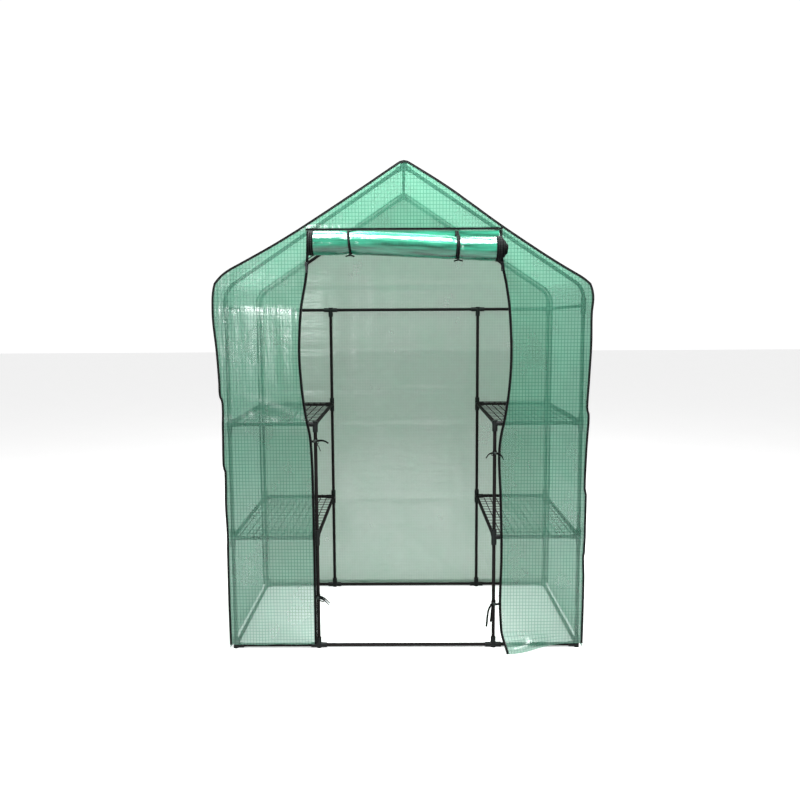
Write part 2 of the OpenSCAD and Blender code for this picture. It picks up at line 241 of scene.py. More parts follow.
def seam_push(side, distance):
    """How far the seam stands out at a place along it, more at the bend, where it keeps a corner."""
    turned = min(max((distance - WALL_L) / ARC_R, 0), TURN)
    corner = ARC_R * (1 / math.cos(min(turned, TURN - turned)) - 1)
    return seam_out(side, outline(distance)[0].y) + 0.5 * corner


def seam_point(side, distance):
    """Place (x, z) of the sewn seam on one side, and its outward direction."""
    point, out = outline(distance)
    point = point + out * seam_push(side, distance)
    return Vector((side * point.x, point.y)), Vector((side * out.x, out.y))


def door_edge(side, z):
    """Distance of a flap's free edge from the middle of the doorway."""
    return between(DOOR_EDGE_LEFT if side < 0 else DOOR_EDGE_RIGHT, z)


def crease(x, z, start, end):
    """1 on a straight crease, falling softly to 0 beside it and towards its ends."""
    run = Vector(end) - Vector(start)
    off = Vector((x, z)) - Vector(start)
    along = off.dot(run) / run.length_squared
    if not 0 < along < 1:
        return 0.0
    aside = abs(off.x * run.y - off.y * run.x) / run.length
    return math.sin(math.pi * along) * hump(aside, 0, CREASE_WIDE)


def front_push(x, z):
    """How far the front film stands forward of its plane."""
    soft = 0.0016 + 0.0022 * ripple(x, z, 0.05, 0.42) + 0.0026 * ripple(x, z, 0.24, 0.31, 3.0)
    folds = 0.0
    if z < DOOR_TOP:
        below, above = max(FOLD_Z - z, 0) / FOLD_BELOW, max(z - FOLD_Z, 0) / FOLD_ABOVE
        inside = max(abs(x) - door_edge(-1 if x < 0 else 1, z), 0)
        folds = FOLD_OUT / (1 + below ** 2 + above ** 2)
        folds += SLACK_OUT * hump(z, SLACK_Z, SLACK_HIGH) * math.exp(-inside / SLACK_WIDE)
        folds += SHELF_OUT * sum(hump(z, level, SHELF_HIGH) for level in SHELF_LEVELS)
        folds += CREASE_OUT * sum(crease(x, z, *line) for line in FLAP_CREASES)
    taut = 1 - hump(z, HINGE_Z, TAUT_HIGH) * (1 - ease((abs(x) - TAUT_HALF) / TAUT_FADE))
    return max(soft + folds, SUNK) * taut


def on_front(x, z, out=0.0):
    """Place on the front film of a point of its flat cut, moved forwards by out."""
    place = Vector((x, FRONT_Y - front_push(x, z) - out, z))
    if z > FOOT_HIGH:
        return place
    kick = 1 - ease((x - KICK_FROM) / KICK_FADE) if x > 0 else 0.0
    lift = FLAP_LIFT + 0.005 * ripple(x, 0, 0.11, 1, 7.0)
    place.z += lift * (1 - kick) * (1 - z / FOOT_HIGH) ** 3
    return place + KICK * (kick * ease(1 - z / KICK_HIGH))


def back_push(x, z):
    """How far the back film stands behind its plane, with the flat creases of its packed folds."""
    soft = 0.002 + 0.003 * ripple(x, z, 0.32, 0.24, 11.0) + 0.0014 * ripple(x, z, 0.06, 0.3, 12.0)
    folds = BACK_FOLD_OUT * sum(hump(z, fold, BACK_FOLD_WIDE) for fold in BACK_FOLDS)
    return max(soft + folds * (0.6 + 0.6 * ripple(x, z, 0.2, 5, 13.0)), SUNK)


def hem_lift(z, along):
    """How far the film near the floor is drawn up, unevenly along its hem."""
    return (HEM_LIFT + 0.002 * ripple(along, 0, 0.16, 1, 8.0)) * max(1 - z / FOOT_HIGH, 0) ** 3


def wrap_place(side_distance, y):
    """Place on the film that runs over the greenhouse: distance from the ridge, right positive."""
    side = -1 if side_distance < 0 else 1
    distance = HALF_L - abs(side_distance)
    point, out = outline(distance)
    push = seam_push(side, distance) * (1 - ease((y - FRONT_Y) / FRONT_SEAM_WIDE))
    push += BACK_SEAM_OUT * (1 - ease((BACK_Y - y) / BACK_SEAM_WIDE))
    across = (y - FRONT_Y) / (BACK_Y - FRONT_Y)
    middle = math.sin(math.pi * min(max(across, 0), 1))
    if distance < WALL_L + ARC_L:
        push += WALL_OUT + middle * (0.003 + 0.005 * ripple(y, point.y, 0.30, 0.26, 21.0 + side))
        push += 0.0016 * middle * ripple(y, point.y, 0.05, 0.35, 23.0)
    else:
        up = (distance - WALL_L - ARC_L) / (SLOPE_L + CREST_L)
        sag = 0.001 - ROOF_SAG * middle * math.sin(math.pi * min(up, 1))
        sag += 0.003 * middle * ripple(y, distance, 0.09, 0.30, 25.0 + side)
        push += sag * min((1 - up) * 12, 1)
    place = point + out * push
    return Vector((side * place.x, y, place.y + hem_lift(point.y, y)))


# ---- Making meshes ----


def mapped_grid(columns, rows, place, flat, keep=None):
    """A grid whose corners, u and v from 0 to 1, go where place says; flat gives UV in metres."""
    bm = bmesh.new()
    layer = bm.loops.layers.uv.new("UVMap")
    bmesh.ops.create_grid(bm, x_segments=columns, y_segments=rows, size=0.5)
    if keep:
        middles = {face: face.calc_center_median() for face in bm.faces}
        lost = [face for face, at in middles.items() if not keep(at.x + 0.5, at.y + 0.5)]
        bmesh.ops.delete(bm, geom=lost, context="FACES")
    spots = {v: (round(v.co.x + 0.5, 6), round(v.co.y + 0.5, 6)) for v in bm.verts}
    for vert, (u, v) in spots.items():
        vert.co = place(u, v)
    for face in bm.faces:
        for loop in face.loops:
            loop[layer].uv = flat(*spots[loop.vert])
    bmesh.ops.remove_doubles(bm, verts=bm.verts, dist=MERGE)
    return bm


def tape_mesh(path, across, width, thick):
    """A flat closed strip along a path; across gives the direction of its width at each point."""
    steps = len(path) - 1
    lengths = [0.0]
    for a, b in zip(path, path[1:]):
        lengths.append(lengths[-1] + (b - a).length)
    corners = ((-1, -1), (1, -1), (1, 1), (-1, 1))

    def place(u, v):
        i = round(u * steps)
        ahead = (path[min(i + 1, steps)] - path[max(i - 1, 0)]).normalized()
        side = across[i] if isinstance(across, list) else across
        side = (side - ahead * side.dot(ahead)).normalized()
        a, b = corners[round(v * 4) % 4]
        return path[i] + side * (a * width / 2) + ahead.cross(side) * (b * thick / 2)

    def flat(u, v):
        turn = (0, width, width + thick, 2 * width + thick, 2 * width + 2 * thick)
        return lengths[round(u * steps)], turn[round(v * 4)]

    bm = mapped_grid(steps, 4, place, flat)
    bmesh.ops.holes_fill(bm, edges=[e for e in bm.edges if e.is_boundary], sides=4)
    bmesh.ops.recalc_face_normals(bm, faces=bm.faces)
    return bm


def join(meshes):
    """Several bmeshes as one."""
    whole = bmesh.new()
    whole.loops.layers.uv.new("UVMap")
    for bm in meshes:
        part = bpy.data.meshes.new("part")
        bm.to_mesh(part)
        bm.free()
        whole.from_mesh(part)
        bpy.data.meshes.remove(part)
    return whole


def piece(name, bm, material, body):
    """Makes a finished object of a bmesh, smooth but for its sharp edges."""
    for face in bm.faces:
        face.smooth = True
    for edge in bm.edges:
        edge.smooth = not edge.is_manifold or edge.calc_face_angle(0) < SHARP
    mesh = bpy.data.meshes.new(name)
    bm.to_mesh(mesh)
    bm.free()
    made = bpy.data.objects.new(name, mesh)
    bpy.context.scene.collection.objects.link(made)
    mesh.materials.append(material)
    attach(made, body)
    return made


# ---- Materials ----

WHITE = (1.0, 1.0, 1.0, 1.0)


def node(tree, kind, inputs=(), **settings):
    """Adds a node with its settings, and feeds its inputs with values, sockets or other nodes."""
    made = tree.nodes.new("ShaderNode" + kind)
    for name, value in settings.items():
        setattr(made, name, value)
    for key, value in dict(inputs).items():
        if isinstance(value, bpy.types.Node):
            value = next(socket for socket in value.outputs if socket.enabled)
        if isinstance(value, bpy.types.NodeSocket):
            tree.links.new(value, made.inputs[key])
        else:
            made.inputs[key].default_value = value
    return made


def start_material(name):
    """A new material with an empty node tree, or None for the tree if it is made already."""
    material = bpy.data.materials.get(name)
    if material:
        return material, None
    material = bpy.data.materials.new(name)
    material.use_nodes = True
    material.node_tree.nodes.clear()
    return material, material.node_tree


def thread_lines(tree, metres, pitch, width):
    """1 on the threads that cross a coordinate every pitch, 0 between them."""
    off = node(tree, "Math", {0: metres, 1: pitch / 2}, operation="PINGPONG")
    return node(
        tree, "MapRange",
        {
            "Value": off, "From Min": width * 0.3, "From Max": width * 0.7,
            "To Min": 1.0, "To Max": 0.0,
        },
        interpolation_type="SMOOTHSTEP",
    )


def thread_grid(tree, metres, finish):
    """1 on the film's threads, which run both ways, 0 between them."""
    split = node(tree, "SeparateXYZ", {"Vector": metres})
    across, up = (
        thread_lines(tree, split.outputs[axis], pitch, finish.thread_width)
        for axis, pitch in (("X", finish.thread_pitch_across), ("Y", finish.thread_pitch_up))
    )
    return node(tree, "Math", {0: across, 1: up}, operation="MAXIMUM")


def uneven(tree, coordinates, across, along, detail=2.0, roughness=0.5):
    """Noise from 0 to 1 whose patches have a real size in metres each way."""
    scaled = node(
        tree, "Mapping",
        {"Vector": coordinates, "Scale": (1 / across, 1 / along, 1 / across)},
    )
    return node(
        tree, "TexNoise",
        {"Vector": scaled, "Scale": 1.0, "Detail": detail, "Roughness": roughness},
    )


# Of the film's cloudiness, the share lit from behind; the most that its skin mirrors at a slant;
# and how high its crinkles and threads stand beside its streaks
LIT_THROUGH, GLOSS_MOST, CRINKLE_SHARE, THREAD_RELIEF = 0.65, 0.055, 0.35, 0.08
# Width and length of the streaks of the cover, which hang, and of the back, which lie
HANGING_STREAK, LYING_STREAK = (0.016, 0.14), (0.16, 0.025)


def reinforced_film(name, finish, veil, clear_tint, thread_tint, glow, thread_glow, streak):
    """Polyethylene film, blown and laminated over a scrim of threads.

    It is clear green between the threads and cloudier and darker on them, with a creased, glossy
    skin. The threads of about 1 mm are drawn as wide as they need to show.
    """
    material, tree = start_material(name)
    if tree is None:
        return material
    metres = node(tree, "TexCoord").outputs["UV"]
    grid = thread_grid(tree, metres, finish)
    cloud = uneven(tree, metres, 0.16, 0.22, 3.0)
    streaks = uneven(tree, metres, *streak, 2.0, 0.5)
    crinkle = uneven(tree, metres, 0.040, 0.030, 2.0, 0.5)

    on_threads = node(
        tree, "MapRange", {"Value": grid, "To Min": veil, "To Max": veil + finish.thread_veil}
    )
    drift = node(
        tree, "MapRange",
        {"Value": cloud, "From Min": 0.3, "From Max": 0.7, "To Min": -0.07, "To Max": 0.08},
    )
    cover = node(tree, "Math", {0: on_threads, 1: drift}, operation="ADD", use_clamp=True)

    def woven(film_colour, thread_colour):
        return node(
            tree, "Mix",
            {"Factor": grid, "A": film_colour, "B": thread_colour}, data_type="RGBA",
        )

    relief = node(
        tree, "Math", {0: crinkle, 1: CRINKLE_SHARE, 2: streaks}, operation="MULTIPLY_ADD"
    )
    relief = node(tree, "Math", {0: grid, 1: THREAD_RELIEF, 2: relief}, operation="MULTIPLY_ADD")
    bump = node(tree, "Bump", {"Height": relief, "Strength": 1.0, "Distance": finish.crinkle})

    front = node(
        tree, "BsdfPrincipled",
        {
            "Base Color": woven(finish.film, finish.thread), "Roughness": 0.35, "IOR": 1.51,
            "Specular IOR Level": 0.0, "Normal": bump,
        },
    )
    through = node(tree, "BsdfTranslucent", {"Color": woven(glow, thread_glow), "Normal": bump})
    cloudy = node(tree, "MixShader", {0: LIT_THROUGH, 1: front, 2: through})
    clear = node(tree, "BsdfTransparent", {"Color": woven(clear_tint, thread_tint)})
    film = node(tree, "MixShader", {0: cover, 1: clear, 2: cloudy})
    edge_on = node(tree, "Fresnel", {"IOR": 1.51, "Normal": bump})
    share = node(
        tree, "Math", {0: edge_on, 1: finish.film_gloss}, operation="MULTIPLY", use_clamp=True
    )
    share = node(tree, "Math", {0: share, 1: GLOSS_MOST}, operation="MINIMUM")
    gloss = node(tree, "BsdfGlossy", {"Color": WHITE, "Roughness": 0.17, "Normal": bump})
    shader = node(tree, "MixShader", {0: share, 1: film, 2: gloss})
    node(tree, "OutputMaterial", {"Surface": shader})
    return material


def cover_film(finish):
    """The cover's film."""
    return reinforced_film(
        "reinforced_polyethylene", finish, finish.film_veil, finish.film_clear, finish.thread_clear,
        finish.film_glow, finish.thread_glow, HANGING_STREAK,
    )


def back_film(finish):
    """The back panel's film: a copy of the cover's film with darker, greyer colours, which are painted
    shade on the back panel.
    """
    return reinforced_film(
        "reinforced_polyethylene_back", finish, finish.back_veil, finish.back_clear_shaded,
        finish.back_thread_clear_shaded, finish.back_glow_shaded, finish.back_thread_glow_shaded, LYING_STREAK,
    )


def hem_film(finish):
    """The extra turns of film in the back's hem, which only dim it a little."""
    # It takes the back film's lit-through colours, which carry that film's painted shade.
    return reinforced_film(
        "reinforced_polyethylene_hem", finish, finish.back_veil * 0.3, linear("f3f5f4"),
        linear("e6eae8"), finish.back_glow_shaded, finish.back_thread_glow_shaded, LYING_STREAK,
    )


def rolled_film(finish):
    """The same film many turns thick: too deep to see through, saturated green under a wet gloss."""
    material, tree = start_material("reinforced_polyethylene_rolled")
    if tree is None:
        return material
    metres = node(tree, "TexCoord").outputs["UV"]
    grid = thread_grid(tree, metres, finish)
    streaks = uneven(tree, metres, 0.20, 0.014, 3.0, 0.55)
    crinkle = uneven(tree, metres, 0.03, 0.03, 2.0, 0.5)
    depth = node(tree, "MapRange", {"Value": streaks, "From Min": 0.35, "From Max": 0.65})
    body = node(
        tree, "Mix",
        {"Factor": depth, "A": finish.roll_deep, "B": finish.roll_pale}, data_type="RGBA",
    )
    thread_share = node(tree, "Math", {0: grid, 1: 0.15}, operation="MULTIPLY")
    skin = node(
        tree, "Mix",
        {"Factor": thread_share, "A": body, "B": finish.thread}, data_type="RGBA",
    )
    relief = node(tree, "Math", {0: streaks, 1: 1.4, 2: crinkle}, operation="MULTIPLY_ADD")
    bump = node(tree, "Bump", {"Height": relief, "Strength": 1.0, "Distance": 0.0016})
    shader = node(
        tree, "BsdfPrincipled",
        {
            "Base Color": skin, "Roughness": 0.4, "IOR": 1.51, "Specular IOR Level": 0.0,
            "Normal": bump,
            "Coat Weight": 1.0, "Coat Roughness": 0.16, "Coat IOR": 1.58, "Coat Normal": bump,
        },
    )
    node(tree, "OutputMaterial", {"Surface": shader})
    return material


# Pitch and width of the tape's ribs, its stitches along the row, and the row across the tape
RIBS, STITCHES, STITCH_ROW = (0.0016, 0.0010), (0.0050, 0.0040), (0.0080, 0.0012)


def woven_tape(finish):
    """Polypropylene binding, woven and sewn down: matt black with fine ribs and a row of stitches.

    The ribs are drawn at 1.6 mm, about twice as coarse as the real weave, so that they show.
    """
    material, tree = start_material("woven_polypropylene_tape")
    if tree is None:
        return material
    metres = node(tree, "TexCoord").outputs["UV"]
    split = node(tree, "SeparateXYZ", {"Vector": metres})
    ribs = thread_lines(tree, split.outputs["X"], *RIBS)
    stitch = thread_lines(tree, split.outputs["X"], *STITCHES)
    row = thread_lines(tree, split.outputs["Y"], *STITCH_ROW)
    sewn = node(tree, "Math", {0: stitch, 1: row}, operation="MULTIPLY")
    fluff = uneven(tree, metres, 0.004, 0.002, 2.0)
    colour = node(
        tree, "Mix",
        {"Factor": sewn, "A": finish.tape, "B": finish.stitch}, data_type="RGBA",
    )
    height = node(tree, "Math", {0: ribs, 1: 0.6, 2: fluff}, operation="MULTIPLY_ADD")
    bump = node(tree, "Bump", {"Height": height, "Strength": 0.6, "Distance": 0.0004})
    shader = node(
        tree, "BsdfPrincipled",
        {
            "Base Color": colour, "Roughness": 0.55, "IOR": 1.49, "Specular IOR Level": 0.03,
            "Sheen Weight": 0.01, "Sheen Roughness": 0.5, "Normal": bump,
        },
    )
    node(tree, "OutputMaterial", {"Surface": shader})
    return material


def hard_finish(name, colours, grain, patches, relief, roughness, **shine):
    """An opaque skin with a grain in relief and broad patches that vary its colour and gloss.

    grain is its size; patches, size and detail; relief, strength and depth; roughness, low and high.
    """
    material, tree = start_material(name)
    if tree is None:
        return material
    place = node(tree, "TexCoord").outputs["Object"]
    fine = uneven(tree, place, grain, grain)
    broad = uneven(tree, place, patches[0], patches[0], patches[1], 0.6)
    colour = node(
        tree, "Mix", {"Factor": broad, "A": colours[0], "B": colours[1]}, data_type="RGBA",
    )
    rough = node(tree, "MapRange", {"Value": broad, "To Min": roughness[0], "To Max": roughness[1]})
    bump = node(tree, "Bump", {"Height": fine, "Strength": relief[0], "Distance": relief[1]})
    shader = node(
        tree, "BsdfPrincipled",
        {"Base Color": colour, "Roughness": rough, "Normal": bump, **shine},
    )
    node(tree, "OutputMaterial", {"Surface": shader})
    return material


def powder_coat(finish):
    """Powder coat on steel tube, sprayed and baked: near-black, satin, with a fine orange peel.

    The peel's real grain of about 1 mm is drawn at 3 mm so that it breaks up the highlights.
    """
    return hard_finish(
        "powder_coated_steel", (finish.steel, finish.steel_light), 0.003, (0.05, 4.0),
        (0.4, 0.0003), (0.5, 0.68), **{"IOR": 1.5, "Specular IOR Level": 0.05},
    )


def moulded_plastic(finish):
    """Polypropylene connectors, injection moulded: black, slightly waxy, with a spark-eroded grain.

    The grain of about 0.3 mm is drawn at 1.5 mm so that it shows.
    """
    return hard_finish(
        "moulded_polypropylene", (finish.plastic, finish.plastic_light), 0.0015, (0.03, 3.0),
        (0.35, 0.0002), (0.36, 0.56), **{"IOR": 1.49, "Specular IOR Level": 0.12},
    )


def lacquered_zinc(finish):
    """Zip sliders and pulls, zinc die-cast and lacquered: dark metal, glossier where it is worn."""
    material, tree = start_material("lacquered_zinc")
    if tree is None:
        return material
    place = node(tree, "TexCoord").outputs["Object"]
    wear = uneven(tree, place, 0.002, 0.002, 3.0, 0.6)
    rough = node(tree, "MapRange", {"Value": wear, "To Min": 0.22, "To Max": 0.45})
    shader = node(
        tree, "BsdfPrincipled",
        {"Base Color": finish.slider, "Metallic": 1.0, "Roughness": rough},
    )
    node(tree, "OutputMaterial", {"Surface": shader})
    return material


def studio_paper(finish, glow):
    """Seamless studio paper: matt, even and pale."""
    material, tree = start_material("studio_paper")
    if tree is None:
        return material
    place = node(tree, "TexCoord").outputs["Object"]
    fibre = uneven(tree, place, 0.4, 0.4, 2.0)
    colour = node(
        tree, "Mix",
        {"Factor": fibre, "A": finish.paper, "B": finish.paper_light}, data_type="RGBA",
    )
    seen = node(tree, "LightPath")
    lift = node(tree, "Math", {0: seen, 1: glow}, operation="MULTIPLY")
    shader = node(
        tree, "BsdfPrincipled",
        {
            "Base Color": colour, "Roughness": 0.9, "Specular IOR Level": 0.1,
            "Emission Color": WHITE, "Emission Strength": lift,
        },
    )
    node(tree, "OutputMaterial", {"Surface": shader})
    return material


# ---- Settings ----


def colour_property(name, description, hex_colour):
    """A colour a user can change, given as an sRGB hex value."""
    return FloatVectorProperty(
        name=name, description=description, subtype="COLOR", size=4, min=0, max=1,
        default=linear(hex_colour),
    )


def length_property(name, description, default, low, high):
    """A length a user can change, in metres."""
    return FloatProperty(
        name=name, description=description, default=default, min=low, max=high, unit="LENGTH"
    )


def share_property(name, description, default):
    """A share from 0 to 1 that a user can change."""
    return FloatProperty(
        name=name, description=description, default=default, min=0, max=1, subtype="FACTOR"
    )


def angle_property(name, description, default):
    """An angle a user can change, in radians."""
    return FloatProperty(name=name, description=description, default=default, subtype="ANGLE")


class GreenhouseFinish(bpy.types.PropertyGroup):
    """Colours and surface sizes."""

    film: colour_property("Film", "Colour of the film's own face", "5aa98d")
    film_glow: colour_property("Film, lit through", "Colour of light scattered in the film", "8dc6ac")
    film_clear: colour_property("Film, seen through", "Tint of light that passes the film", "c6cbc9")
    thread: colour_property("Threads", "Colour of the reinforcing threads", "1d6a50")
    thread_glow: colour_property("Threads, lit through", "Colour of light in the threads", "5a9681")
    thread_clear: colour_property("Threads, seen through", "Tint of light by the threads", "acbab3")
    # The back film's colours are darker and greyer than the film's above: painted shade on the back
    # panel.
    back_glow_shaded: colour_property("Back film, lit through", "Scattered colour of the back", "93b096")
    back_thread_glow_shaded: colour_property("Back threads, lit through", "Colour of light in them", "93b09d")
    back_clear_shaded: colour_property("Back film, seen through", "Tint through the back", "a2aba5")
    back_thread_clear_shaded: colour_property("Back threads, seen through", "Tint by its threads", "a0a4a1")
    roll_deep: colour_property("Roll, deep", "Darkest green of the rolled door", "08382a")
    roll_pale: colour_property("Roll, pale", "Lightest green of the rolled door", "25755c")
    tape: colour_property("Tape", "Colour of the binding and zip tape", "040505")
    stitch: colour_property("Stitches", "Colour of the sewing thread", "2a2f2d")
    steel: colour_property("Steel", "Colour of the coated tubes", "0d0b0b")
    steel_light: colour_property("Steel, light", "Dusty colour of the coated tubes", "171414")
    plastic: colour_property("Connectors", "Colour of the moulded connectors", "080a0a")
    plastic_light: colour_property("Connectors, light", "Paler colour in the connectors", "151817")
    slider: colour_property("Zip slider", "Colour of the zip's metal", "2c2e2f")
    paper: colour_property("Paper", "Colour of the studio floor", "dedede")
    paper_light: colour_property("Paper, light", "Lighter colour of the studio floor", "e3e3e3")
    thread_pitch_across: length_property(
        "Thread pitch across", "Spacing of the upright threads", 0.0125, 0.004, 0.03
    )
    thread_pitch_up: length_property(
        "Thread pitch up", "Spacing of the threads that run across", 0.014, 0.004, 0.03
    )
    thread_width: length_property(
        "Thread width", "Drawn width of a thread, coarser than its real 1 mm", 0.0023, 0.001, 0.01
    )
    thread_veil: share_property("Thread veil", "How much cloudier the film is on its threads", 0.15)
    film_veil: share_property("Film veil", "How cloudy the film is between its threads", 0.40)
    back_veil: share_property("Back veil", "How cloudy the back film is between threads", 0.38)
    film_gloss: share_property("Film gloss", "Strength of the film's mirror-like skin", 1.0)
    crinkle: length_property("Crinkle", "Depth of the film's fine creases", 0.0013, 0, 0.01)


class GreenhouseCover(bpy.types.PropertyGroup):
    """Sizes of the cover and its tapes."""

    mesh_step: length_property("Mesh step", "Spacing of the film's mesh", 0.0125, 0.006, 0.05)
    binding_width: length_property(
        "Binding width", "Width of the binding along the seams", 0.0085, 0.004, 0.03
    )
    zip_tape_width: length_property("Zip tape width", "Width of half a zip's tape", 0.010, 0.006, 0.03)
    tooth_pitch: length_property("Zip tooth pitch", "Spacing of the zip's teeth", 0.0040, 0.002, 0.01)
    tape_thickness: length_property(
        "Tape thickness", "Thickness of binding and tapes", 0.0012, 0.0005, 0.004
    )
    hem_height: length_property("Hem height", "Height of the folded hem", 0.022, 0.01, 0.05)


class GreenhouseDoor(bpy.types.PropertyGroup):
    """Sizes of the rolled door."""

    door_length: length_property("Door length", "Length of the door's flat sheet", 1.66, 1.0, 2.0)
    core_radius: length_property("Core radius", "Radius of the innermost turn", 0.012, 0.005, 0.03)
    droop: length_property("Droop", "How much lower the roll hangs at its right end", 0.026, 0, 0.04)
    shift: length_property("Shift", "How far the roll has slipped to the right", 0.002, -0.02, 0.02)
    end_creep_left: length_property(
        "End creep left", "How far the inner turns creep out on the left", 0.001, -0.03, 0.03
    )
    end_creep_right: length_property(
        "End creep right", "How far the inner turns creep out on the right", 0.029, -0.03, 0.03
    )
    zip_tape_width: length_property(
        "Zip tape width", "Width of the zip tapes rolled in with the door", 0.020, 0.008, 0.03
    )
    sling_pinch: share_property(
        "Sling pinch", "How much of the roll's radius the slings squeeze away", 0.12
    )


class GreenhouseStudio(bpy.types.PropertyGroup):
    """Camera and light."""

    lens: FloatProperty(name="Lens", description="Focal length in millimetres", default=32.70)
    eye: FloatVectorProperty(
        name="Camera", description="Place of the camera", size=3, subtype="TRANSLATION",
        default=(-0.0058, -3.1659, 1.3313),
    )
    pitch_down: angle_property("Pitch", "How far the camera looks down", 0.1071)
    heading: angle_property("Heading", "How far the camera looks to the left", 0.0047)
    tilt: angle_property("Tilt", "How far the camera leans", -0.0056)
    sky: FloatProperty(name="Room light", description="Light from the white room", default=0.6)
    backdrop: FloatProperty(
        name="Backdrop", description="Brightness of the white room where it is seen", default=1.05
    )
    floor_glow: FloatProperty(
        name="Floor glow", description="Light added to the paper so that it stays white",
        default=0.42,
    )
    floor_size: IntProperty(name="Floor size", description="Width of the paper in metres", default=60)


# ---- Cords: the loose ends of the ties ----

# The ties' knots sit in front of the inner posts, a little towards the doorway
KNOT_X, KNOT_Y = INNER_POST.x - 0.0015, FRONT_Y - 0.0076
# Half sizes of a tie's knot and a sling's, across, forwards and up
TIE_KNOT, SLING_KNOT = (0.0068, 0.0058, 0.0072), (0.0065, 0.006, 0.0042)
TIES = {
    "upper_left": (-1, 0.862), "lower_left": (-1, 0.218),
    "upper_right": (1, 0.810), "lower_right": (1, 0.190),
}
# Route of each loose end from its knot (across, forwards, up) in millimetres, and its tape's width
TAILS = {
    "upper_left": (
        (((6, 0, 1), (14, -2, 3), (24, -4, 4), (34, -5, 3), (44, -6, -1), (53, -6, -7)), 8.3),
        (((5, -3, -4), (9, -6, -11), (14, -8, -19), (18, -8, -28), (21, -8, -38)), 3.4),
    ),
    "lower_left": (
        (((6, -1, 0), (15, -4, -1), (25, -6, -6), (35, -7, -15), (45, -7, -27)), 8.0),
        (((5, -6, 9), (14, -9, 9), (25, -11, 5), (37, -12, -4), (49, -12, -17)), 7.8),
    ),
    "upper_right": (
        (((-6, 0, 1), (-15, -3, 2), (-24, -5, -2), (-31, -6, -9), (-36, -6, -18)), 6.6),
        (((6, -2, 1), (15, -5, 0), (23, -7, -6), (29, -8, -14), (33, -8, -23)), 6.6),
    ),
    "lower_right": (
        (
            ((-6, -1, -1), (-13, -4, -6), (-19, -6, -15), (-23, -7, -27), (-25, -7, -41),
             (-27, -7, -57), (-28, -7, -74), (-30, -7, -92)), 8.0,
        ),
        (
            ((-4, -4, -5), (-8, -8, -14), (-10, -10, -26), (-11, -11, -40), (-12, -11, -55),
             (-14, -11, -70)), 7.0,
        ),
    ),
}
TAIL_STEPS = 22
# Thickness of the loose ends and slings, and thickness and width of the tape sewn on as ties
THIN_TAPE, TIE_THICK, TIE_WIDE = 0.0011, 0.0012, 0.009


def knot_place(side, z):
    """Where a tie's knot sits, in front of the inner post."""
    return Vector((side * KNOT_X, KNOT_Y, z))


def tail_piece(tie, number, finish):
    """One loose tape end of a tie."""
    side, z = TIES[tie]
    route, width = TAILS[tie][number]
    start = knot_place(side, z)
    path = smooth_path([start + Vector(p) / 1000 for p in route], TAIL_STEPS)
    run = path[-1] - path[0]
    twist = []
    for i in range(TAIL_STEPS + 1):
        if abs(run.z) > abs(run.x):
            twist.append(Vector((1, 0.3 * math.sin(i / 6), 0.2)))
        else:
            twist.append(Vector((0.25 * math.sin(i / 5), 0.25 * math.cos(i / 6) - 0.35, 1)))
    bm = tape_mesh(path, twist, width / 1000, THIN_TAPE)
    made = piece(f"tie_tail_{tie}_{number + 1}", bm, woven_tape(finish), "frame")
    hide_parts("tie_tails_left" if side < 0 else "tie_tails_right")


class GREENHOUSE_OT_camera(bpy.types.Operator):
    """Sets up the camera"""

    bl_idname = "greenhouse.camera"
    bl_label = "Camera"

    def execute(self, context):
        studio = context.scene.greenhouse_studio
        data = bpy.data.cameras.new("camera")
        data.lens = studio.lens
        data.sensor_width = 36
        data.clip_end = 200
        camera = bpy.data.objects.new("camera", data)
        context.scene.collection.objects.link(camera)
        turn = Matrix.Rotation(studio.heading, 4, "Z")
        turn = turn @ Matrix.Rotation(math.pi / 2 - studio.pitch_down, 4, "X")
        turn = turn @ Matrix.Rotation(studio.tilt, 4, "Z")
        camera.matrix_world = Matrix.Translation(studio.eye) @ turn
        context.scene.camera = camera
        return {"FINISHED"}


class GREENHOUSE_OT_tie_tails(bpy.types.Operator):
    """Makes the loose ends of the four tape ties"""

    bl_idname = "greenhouse.tie_tails"
    bl_label = "Tie tails"

    def execute(self, context):
        for tie in TIES:
            for number in (0, 1):
                tail_piece(tie, number, context.scene.greenhouse_finish)
        return {"FINISHED"}


# ---- Cover ----


def counted(length, step):
    """How many steps fit a length."""
    return max(2, round(length / step))


def front_sheet(cover, finish):
    """Front film: two flaps beside the doorway and the gable over it, cut as one."""
    rows = counted(HALF_L, cover.mesh_step)
    strip = counted(WALL_X - DOOR_HALF, cover.mesh_step)
    middle = counted(2 * DOOR_HALF, cover.mesh_step)
    columns = 2 * strip + middle
    edge = [outline(HALF_L * i / rows)[0] for i in range(rows + 1)]
    gable_row = min(i for i, point in enumerate(edge) if point.y >= DOOR_TOP - 0.004)

    def flat(u, v):
        row, column = round(v * rows), round(u * columns)
        left, right = (seam_point(side, HALF_L * row / rows)[0] for side in (-1, 1))
        z = DOOR_TOP if row == gable_row else edge[row].y
        reach = edge[row].x / edge[gable_row].x if row > gable_row else 1.0
        inner_left = Vector((-door_edge(-1, z) * reach, z))
        inner_right = Vector((door_edge(1, z) * reach, z))
        if column <= strip:
            return left.lerp(inner_left, column / strip)
        if column >= strip + middle:
            return inner_right.lerp(right, (column - strip - middle) / strip)
        return inner_left.lerp(inner_right, (column - strip) / middle)

    def keep(u, v):
        in_door = strip < u * columns < strip + middle
        return not (in_door and v * rows < gable_row)

    bm = mapped_grid(columns, rows, lambda u, v: on_front(*flat(u, v)), flat, keep)
    made = piece("cover_front", bm, cover_film(finish), "frame")
    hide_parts("cover_gable", "cover_flap_left", "cover_flap_right")
    return made


